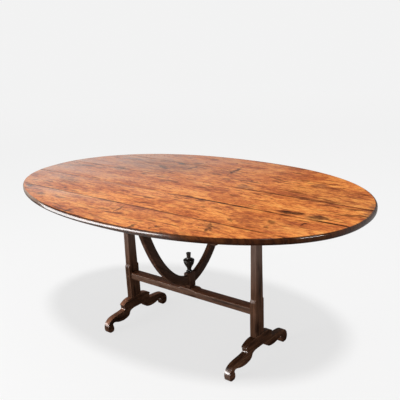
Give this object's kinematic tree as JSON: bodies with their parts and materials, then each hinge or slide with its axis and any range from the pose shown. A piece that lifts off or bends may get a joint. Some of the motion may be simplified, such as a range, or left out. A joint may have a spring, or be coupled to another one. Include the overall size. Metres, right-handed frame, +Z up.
{
  "type": "tilt-top wine tasting table",
  "caption": "Oval plank-top table on a trestle with scrolled feet, a stretcher and a swivelling U-shaped support; the top turns on pins at the heads of the posts.",
  "frame": {"origin": "on the floor, under the middle of the top", "axes": "+X along the top's length and the stretcher, +Y across them, +Z up"},
  "size_m": [1.692, 1.074, 0.74],
  "materials": {
    "top_boards": "old waxed boards, orange brown, with dark streaks",
    "battens": "unpolished brown underside",
    "trestle": "dark brown, worn lighter on the arrises",
    "harp": "dark brown, waxed",
    "finial": "nearly black, waxed",
    "pegs": "dark end grain",
    "iron": "dull forged iron"
  },
  "bodies": {
    "base": {"post_left": "trestle", "post_right": "trestle", "foot_left": "trestle", "foot_right": "trestle", "stretcher": "trestle", "stretcher_peg_left": "pegs", "stretcher_peg_right": "pegs", "foot_peg_left_front": "pegs", "foot_peg_left_back": "pegs", "foot_peg_right_front": "pegs", "foot_peg_right_back": "pegs"},
    "harp": {"harp_block": "harp", "harp_arm_front": "harp", "harp_arm_back": "harp", "arm_peg_front": "pegs", "arm_peg_back": "pegs", "finial": "finial"},
    "top": {"top_board_1": "top_boards", "top_board_2": "top_boards", "top_board_3": "top_boards", "top_board_4": "top_boards", "top_board_5": "top_boards", "batten_left": "battens", "batten_right": "battens", "pivot_pin_left": "iron", "pivot_pin_right": "iron", "batten_screw_left_1": "iron", "batten_screw_left_2": "iron", "batten_screw_left_3": "iron", "batten_screw_left_4": "iron", "batten_screw_left_5": "iron", "batten_screw_right_1": "iron", "batten_screw_right_2": "iron", "batten_screw_right_3": "iron", "batten_screw_right_4": "iron", "batten_screw_right_5": "iron"}
  },
  "joints": [
    {"name": "harp_swing", "type": "hinge", "parent": "base", "child": "harp", "pos_m": [0, 0, 0.262], "axis": [0, 0, 1], "range_deg": [-92.6, 87.4]},
    {"name": "top_tilt", "type": "hinge", "parent": "base", "child": "top", "pos_m": [0, 0, 0.692], "axis": [1, 0, 0], "range_deg": [-0.15, 0.15]}
  ]
}
